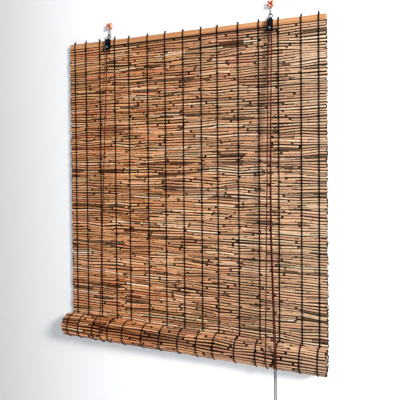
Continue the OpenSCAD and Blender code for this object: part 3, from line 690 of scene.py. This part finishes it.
# %% Hollows of the stems
corners = add(stems_tree, "GeometryNodeInputMeshFaceNeighbors").outputs["Vertex Count"]
ends = {"A_INT": corners, "B_INT": 4}
ends = add(stems_tree, "FunctionNodeCompare", ends, data_type="INT", operation="GREATER_THAN").outputs[0]
rim = add(stems_tree, "GeometryNodeExtrudeMesh", {"Mesh": skin, "Selection": ends, "Offset Scale": 0.0})
inset = {"Geometry": rim.outputs["Mesh"], "Selection": rim.outputs["Top"], "Scale": given["Bore"]}
inset = add(stems_tree, "GeometryNodeScaleElements", inset).outputs[0]
inward = {0: given["Bore depth"], 1: -1.0}
inward = add(stems_tree, "ShaderNodeMath", inward, operation="MULTIPLY").outputs[0]
bore = {"Mesh": inset, "Selection": rim.outputs["Top"], "Offset Scale": inward}
bore = add(stems_tree, "GeometryNodeExtrudeMesh", bore)
inside = {0: bore.outputs["Top"], 1: bore.outputs["Side"]}
inside = add(stems_tree, "FunctionNodeBooleanMath", inside, operation="OR").outputs[0]
# the hollow's faces are marked to be painted dark, as painted shade inside the bore
mark = {"Geometry": bore.outputs["Mesh"], "Name": "stem_hollow", "Value": inside}
skin = add(stems_tree, "GeometryNodeStoreNamedAttribute", mark, domain="FACE").outputs[0]
flat = {0: inside, 1: rim.outputs["Side"]}
flat = add(stems_tree, "FunctionNodeBooleanMath", flat, operation="OR").outputs[0]
flat = {"Geometry": skin, "Selection": flat, "Shade Smooth": False}
skin = add(stems_tree, "GeometryNodeSetShadeSmooth", flat).outputs[0]
skin = add(stems_tree, "GeometryNodeRealizeInstances", {"Geometry": skin}).outputs[0]
skin = {"Geometry": skin, "Material": given["Material"]}
skin = add(stems_tree, "GeometryNodeSetMaterial", skin).outputs[0]
stems_tree.links.new(skin, result["Geometry"])
print("stem tree:", len(stems_tree.nodes), "nodes with the hollows")

# %% [markdown]
# ## The hanging mat
# The rows go from under the lath down to where the mat turns into the roll. Outer stems lie in front,
# slender ones on top of them here and there, rear stems behind them, and dark inner stems in the gaps
# between the rows. With the roll up only the first rows would still hang free, so these are a piece of
# their own, and the rows below are three more pieces: outer, inner and slender stems.

# %% Rows of the mat
ROW_STEP, ROW_TOP, ROW_END = 0.0073, -0.0660, -0.9358
# how unevenly rows lie in height and depth, and how far below the lath they begin to stray
ROW_JITTER, DEPTH_JITTER, CALM_REACH = 0.0003, 0.0006, 0.02
THINNEST, THICKEST = 0.8, 1.6
rear_rows = np.linspace(ROW_TOP, ROW_END, round((ROW_TOP - ROW_END) / ROW_STEP) + 1)
inner_rows = rear_rows + ROW_STEP / 2
rows = rear_rows.copy()
rows[1:-1] += chance.normal(0, ROW_JITTER, len(rows) - 2)


def calm(z):
    """How far the rows may stray at a height: not at all close to the straight lath."""
    return np.clip((ROW_TOP - z) / CALM_REACH, 0.0, 1.0)


def lay(numbers, y, z, slope, lean):
    """Points of a stem that lies on the mat at a depth and height."""
    xs = numbers[0]
    off = xs - xs.mean()
    deep = y + lean * off + chance.uniform(-DEPTH_JITTER, DEPTH_JITTER)
    return np.column_stack((xs, deep, z + calm(z) * (wander(xs, z) + slope * off)))


def widened(numbers, z):
    """The same stem, made thicker where the rows are drawn apart, so that it still fills its gap."""
    xs, half = numbers[0], ROW_STEP / 2
    drawn = calm(z) * (wander(xs, z + half) - wander(xs, z - half)) / ROW_STEP
    return xs, numbers[1] * np.clip(1 + drawn, THINNEST, THICKEST), *numbers[2:]


print("rows:", len(rows))

# %% Stems of the mat
MAT_Y, OUTER_Y, REAR_Y, INNER_Y, SLENDER_Y = -0.0102, -0.0106, -0.0094, -0.0096, -0.0122
SLENDERS, SLENDER_TOP, SLENDER_SLOPE = 700, -0.08, 0.02
STEM_VALUES = ("stem_radius", "stem_tone", "stem_hue", "stem_inner", "stem_cut", "stem_joint")


def pack_stems(placed):
    """Lines and point values for the stem tree, from (points, numbers of a stem) pairs."""
    values = {label: [numbers[k + 1] for _, numbers in placed] for k, label in enumerate(STEM_VALUES)}
    return [points for points, _ in placed], values


outer = []
for z in rows:
    outer += [(lay(n, OUTER_Y, z, slope, lean), widened(n, z)) for n, slope, lean in row_of_stems(OUTER)]
inner = []
for kind, y, heights in ((REAR, REAR_Y, rear_rows), (INNER, INNER_Y, inner_rows)):
    for z in heights:
        inner += [(lay(n, y, z, 0, 0), widened(n, z)) for n, _, _ in row_of_stems(kind)]
slender = []
for z in chance.uniform(ROW_END, SLENDER_TOP, SLENDERS):
    numbers = slender_stem()
    slender.append((lay(numbers, SLENDER_Y, z, chance.normal(0, SLENDER_SLOPE), 0.0), numbers))
print("stems of the mat:", len(outer), "outer,", len(inner), "inner,", len(slender), "slender")

# %% Mat
FREE_Z, MAT_END_Z, ROLL_ROOM = -0.099, -0.9388, 0.024
free = [pair for pair in outer + inner + slender if pair[0][:, 2].mean() > FREE_Z]
layers = {"reed_mat_free_stems": free}
for name, placed in (("stems", outer), ("inner_stems", inner), ("slender_stems", slender)):
    layers["reed_mat_" + name] = [pair for pair in placed if pair[0][:, 2].mean() <= FREE_Z]
for name, placed in layers.items():
    lines, values = pack_stems(placed)
    mat = grow(name, stems_tree, lines, "reed", reed, values)
    if placed is not free:
        shorten(mat)
    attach(mat, "header")
    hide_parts("reed_mat")

# %% [markdown]
# ## The roll
# The same rows go on round the roll. Each turn runs level most of the way and then steps in under the
# turn outside it. Only the outer turn is seen along its whole length, so the inner turns are short stems
# at the two ends.

# %% Shape of the roll
TURN_R, TURN_STEP, TURNS, LEVEL_PART = 0.03117, 0.0063, 4, 270
# how far the rows stray on the roll beside the mat's, and where the strings' waves go on
STRAY_PART, WAVES_FROM = 0.8, 0.3


def turn_radius(angle):
    """Radius of the rolled mat's middle, by the angle in degrees from the back, down and round."""
    turn, part = np.divmod(angle, 360)
    ease = np.clip((part - LEVEL_PART) / (360 - LEVEL_PART), 0.0, 1.0)
    return TURN_R - TURN_STEP * (turn + ease * ease * (3 - 2 * ease))


def roll_stray(x, angle):
    """Metres by which a row strays round the roll."""
    return STRAY_PART * wander(x, WAVES_FROM + TURN_R * math.radians(angle))


def on_roll(xs, angle, rise, stray):
    """Points round the roll: rise is out from the middle of the mat, stray is along its turn."""
    out = turn_radius(angle) + rise + np.zeros(len(xs))
    turned = np.radians(angle) + stray / out
    return np.column_stack((xs, ROLL_Y + out * np.cos(turned), ROLL_Z - out * np.sin(turned)))


roll_rows, angle = [], 0.0
while angle < 360 * (TURNS - 1) + LEVEL_PART:
    roll_rows.append(angle)
    angle += math.degrees(ROW_STEP / turn_radius(angle))
print("rows of the roll:", len(roll_rows))

# %% Roll
FIRST_HIDDEN, STUB, STUB_SAW = 380, 0.05, (-0.002, 0.0025)
OUTER_RISE, INNER_RISE, SLENDER_RISE, LESS_LEAN = 0.0011, -0.0012, 0.0016, 3
SHOWN_ARC, ROLL_SLENDERS, ROLL_SLENDER_SLOPE = 330, 40, 0.035
placed = []
for angle in roll_rows:
    if angle > FIRST_HIDDEN:
        for way in (-1, 1):
            sawn = way * (HALF_WIDTH + chance.uniform(*STUB_SAW))
            numbers = stem(*sorted((sawn, way * (HALF_WIDTH - STUB))), OUTER)
            placed.append((on_roll(numbers[0], angle, 0.0, 0.0), numbers))
        continue
    half = math.degrees(ROW_STEP / turn_radius(angle)) / 2
    for kind, start, rise in (
        (ROLLED, angle, OUTER_RISE), (ROLLED_INNER, angle, INNER_RISE),
        (ROLLED_INNER, angle + half, INNER_RISE),
    ):
        for numbers, slope, lean in row_of_stems(kind):
            xs = numbers[0]
            off = xs - xs.mean()
            stray = roll_stray(xs, start) + slope * off
            placed.append((on_roll(xs, start, rise + lean * off / LESS_LEAN, stray), numbers))
for angle in chance.uniform(0, SHOWN_ARC, ROLL_SLENDERS):
    numbers = slender_stem()
    xs = numbers[0]
    stray = roll_stray(xs, angle) + chance.normal(0, ROLL_SLENDER_SLOPE) * (xs - xs.mean())
    placed.append((on_roll(xs, angle, SLENDER_RISE, stray), numbers))
lines, values = pack_stems(placed)
behind = {"Behind Y": ROLL_Y, "Behind Z": ROLL_Z}
roll = grow("reed_roll_stems", stems_tree, lines, "reed", reed, values, **behind)
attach(roll, "roll")
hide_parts("reed_roll")

# %% [markdown]
# ## The warp threads
# Two threads twine round each other at every string: one passes in front of a row while the other passes
# behind it, and between the rows they change places. That is what holds a reed mat together, so it is
# made as it is woven, with the threads following the same wandering rows. They are divided as the mat
# is: the free rows' threads are one piece, and those below are a piece for each string.

# %% Threads
THREAD = {"Radius": 0.0016, "Sides": 5, "Spacing": 0.0016, "Relief": 0.08, "Pitch": 0.004, "Strands": 1.0}
TWINE_DEPTH, TWINE_SPREAD, TWINE_POWER = 0.0040, 0.0004, 0.2
# places of a row where the threads are followed: they change sides quickly, halfway between two rows
FOLLOWED = (0.0, 0.2, 0.38, 0.46, 0.54, 0.62, 0.8)


def twine(count):
    """The two threads over count rows: (rows passed, how far one is in front, how far it is aside)."""
    passed = np.array([row + part for row in range(count - 1) for part in FOLLOWED] + [count - 1.0])
    wave = np.cos(math.pi * passed)
    return passed, np.sign(wave) * np.abs(wave) ** TWINE_POWER, np.sin(math.pi * passed)


passed, front, aside = twine(len(rows))
part = int(np.argmax(passed > np.sum(rows > FREE_Z) - 0.5))
strings, free_lines = [f"warp_string_{i + 1:02d}" for i in range(len(STRING_X))], []
for string, x in zip(strings, STRING_X):
    heights = [z + calm(z) * wander(x, z) for z in rows]
    heights = np.interp(passed, np.arange(len(rows)), heights)
    lines = []
    for way in (1, -1):
        beside, deep = x + way * TWINE_SPREAD * aside, MAT_Y - way * TWINE_DEPTH * front
        line = np.column_stack((beside, deep, heights))
        free_lines.append(line[: part + 1])
        lines.append(line[part:])
    name = string.replace("string", "threads")
    threads = grow(name, sweep, lines, "thread", woven["black_thread"], **THREAD)
    shorten(threads)
    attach(threads, "header")
    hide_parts(string)
threads = grow("warp_threads_free", sweep, free_lines, "thread", woven["black_thread"], **THREAD)
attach(threads, "header")
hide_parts(*strings)

# %% Threads round the roll
shown = [a for a in roll_rows if a < SHOWN_ARC]
passed, front, aside = twine(len(shown))
angles = np.interp(passed, np.arange(len(shown)), shown)
lines = []
for x in STRING_X:
    stray = np.array([roll_stray(x, a) for a in angles])
    for way in (1, -1):
        lines.append(on_roll(x + way * TWINE_SPREAD * aside, angles, way * TWINE_DEPTH * front, stray))
roll_threads = grow("roll_threads", sweep, lines, "thread", woven["black_thread"], **THREAD)
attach(roll_threads, "roll")
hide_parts("roll_strings")

# %% [markdown]
# ## The ties on the lath
# Above the first row both threads of a string go up the two faces of the lath and are tied on its top
# edge in an overhand knot, with two cut ends that stand up. A trefoil is the curve of an overhand knot.

# %% Ties
LATH_FRONT, LATH_BACK, LATH_TOP, LATH_BOTTOM = -0.013, -0.007, -0.045, -0.061
TIE = {**THREAD, "Radius": 0.0013, "Spacing": 0.0012}
# two threads side by side, their ends below the lath and how loose they are there, their turn at an edge
TIE_ASIDE, TIE_BELOW, TIE_LOOSE, TIE_TURN, TIE_STEP = 0.0005, 0.004, 0.0004, 0.0015, 0.002
KNOT_R, KNOT_BACK, KNOT_UP, KNOT_POINTS = 0.0017, 0.0012, 0.001, 25
# the cut ends' lean in radians and its spread, and spans of their length and of their way to the back
TAIL_LEAN, TAIL_SPREAD, TAIL_LENGTH, TAIL_BACK, TAIL_BOW = 0.3, 0.6, (0.003, 0.008), (-0.4, 0.3), 0.0006
a = np.linspace(0, math.tau, KNOT_POINTS)
trefoil = (np.sin(a) + 2 * np.sin(2 * a), -np.sin(3 * a), np.cos(a) - 2 * np.cos(2 * a))
trefoil = KNOT_R / 2 * np.column_stack(trefoil)
near, far = LATH_FRONT - TIE["Radius"], LATH_BACK + TIE["Radius"]
over, under = LATH_TOP + TIE["Radius"], LATH_BOTTOM - TIE_BELOW
loop = [(near - TIE_LOOSE, under), (near, over - TIE_TURN), (near + TIE_TURN, over)]
loop += [(far - TIE_TURN, over), (far, over - TIE_TURN), (far + TIE_LOOSE, under)]
lines = []
for x in STRING_X:
    for offset in (-TIE_ASIDE, TIE_ASIDE):
        lines.append(evenly([(x + offset, y, z) for y, z in loop], TIE_STEP))
    knot = np.array((x, LATH_FRONT + KNOT_BACK, over + KNOT_UP))
    lines.append(knot + trefoil)
    for way in (-1, 1):
        lean, tail = chance.normal(TAIL_LEAN * way, TAIL_SPREAD), chance.uniform(*TAIL_LENGTH)
        tip = knot + tail * np.array((math.sin(lean), chance.uniform(*TAIL_BACK), math.cos(lean)))
        lines.append([knot, knot + 0.5 * (tip - knot) + (way * TAIL_BOW, 0, 0), tip])
ties = grow("warp_ties", sweep, lines, "thread", woven["black_thread"], **TIE)
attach(ties, "header")

# %% [markdown]
# ## The stage
# A white wall behind the blind and a pale floor far below it, because the pull cord's knob goes down as
# the roll goes up. The wall has one side: seen from behind it is clear, and light passes it, so that the
# back of the blind can be looked at too.

# %% Wall and floor
WALL_Y, WALL_GLOW, GLOW_COLOUR = 0.0004, 0.17, "#e3f1f5"
# the wall is painted darker towards its left, as painted shade where the lamp's light falls off
DIM_X, BRIGHT_X, DIM_COLOUR = -0.8, 0.1, "#b5b0ae"
# half the stage's width, its front, floor and top
x, front, floor, top = 4.0, -4.0, -2.9, 2.5
for name, code, corners in (
    ("wall", "#f4f4f5", [(-x, WALL_Y, floor), (x, WALL_Y, floor), (x, WALL_Y, top), (-x, WALL_Y, top)]),
    ("floor", "#e4e2df", [(-x, front, floor), (x, front, floor), (x, WALL_Y, floor), (-x, WALL_Y, floor)]),
):
    mesh = bpy.data.meshes.new(name)
    mesh.from_pydata(corners, [], [(0, 1, 2, 3)])
    stage = bpy.data.objects.new(name, mesh)
    scene.collection.objects.link(stage)
    paint = bpy.data.materials.new(name + "_paint")
    paint.use_nodes = True
    tree = paint.node_tree
    tree.nodes.remove(tree.nodes["Principled BSDF"])
    matt = add(tree, "ShaderNodeBsdfDiffuse", {"Color": linear(code)})
    surface = matt.outputs[0]
    if name == "wall":
        # painted shade: the wall's colour darkens towards the left
        place = add(tree, "ShaderNodeTexCoord").outputs["Object"]
        across = add(tree, "ShaderNodeSeparateXYZ", {0: place}).outputs["X"]
        across = {"Value": across, "From Min": DIM_X, "From Max": BRIGHT_X}
        across = add(tree, "ShaderNodeMapRange", across).outputs[0]
        shade = ((0.0, DIM_COLOUR), (1.0, code))
        shade = add(tree, "ShaderNodeValToRGB", {0: across}, stops=shade).outputs[0]
        tree.links.new(shade, matt.inputs["Color"])
        ray = add(tree, "ShaderNodeLightPath").outputs
        glow = 0.0
        for kind in ("Is Camera Ray", "Is Glossy Ray", "Is Transmission Ray"):
            glow = add(tree, "ShaderNodeMath", {0: ray[kind], 1: glow}, operation="MAXIMUM").outputs[0]
        glow = add(tree, "ShaderNodeMath", {0: glow, 1: WALL_GLOW}, operation="MULTIPLY").outputs[0]
        glow = {"Color": linear(GLOW_COLOUR), "Strength": glow}
        glow = add(tree, "ShaderNodeEmission", glow).outputs[0]
        surface = add(tree, "ShaderNodeAddShader", {0: surface, 1: glow}).outputs[0]
        behind = add(tree, "ShaderNodeNewGeometry").outputs["Backfacing"]
        clear = {0: behind, 1: ray["Is Shadow Ray"]}
        clear = add(tree, "ShaderNodeMath", clear, operation="MAXIMUM").outputs[0]
        glass = add(tree, "ShaderNodeBsdfTransparent").outputs[0]
        surface = add(tree, "ShaderNodeMixShader", {0: clear, 1: surface, 2: glass}).outputs[0]
    tree.links.new(surface, tree.nodes["Material Output"].inputs["Surface"])
    mesh.materials.append(paint)
    print(name, "with", len(tree.nodes), "nodes of paint")

# %% [markdown]
# ## Light
# A broad soft lamp high on the right in front gives the round stems their light tops and dark
# undersides, and puts the blind's shadow on the wall to its left and below the roll. The world fills the
# rest. A second lamp behind the wall is for looking at the back.

# %% Lamps and world
ROOM_LIGHT, ROOM_COLOUR = 0.55, "#e8eff8"
for name, place, target, size, power in (
    ("window_light", (2.7, -2.0, 0.7), (0.0, 0.0, -0.5), 0.8, 202.0),
    ("back_light", (-0.9, 2.2, 0.4), (0.0, 0.0, -0.5), 1.5, 30.0),
):
    lamp = bpy.data.lights.new(name, "AREA")
    lamp.size, lamp.energy = size, power
    stand = bpy.data.objects.new(name, lamp)
    stand.location = place
    stand.rotation_mode = "QUATERNION"
    stand.rotation_quaternion = (Vector(target) - Vector(place)).to_track_quat("-Z", "Y")
    scene.collection.objects.link(stand)
    print(name, power, "W")
world = bpy.data.worlds.new("room")
world.use_nodes = True
scene.world = world
sky = world.node_tree.nodes["Background"].inputs
sky["Color"].default_value = linear(ROOM_COLOUR)
sky["Strength"].default_value = ROOM_LIGHT
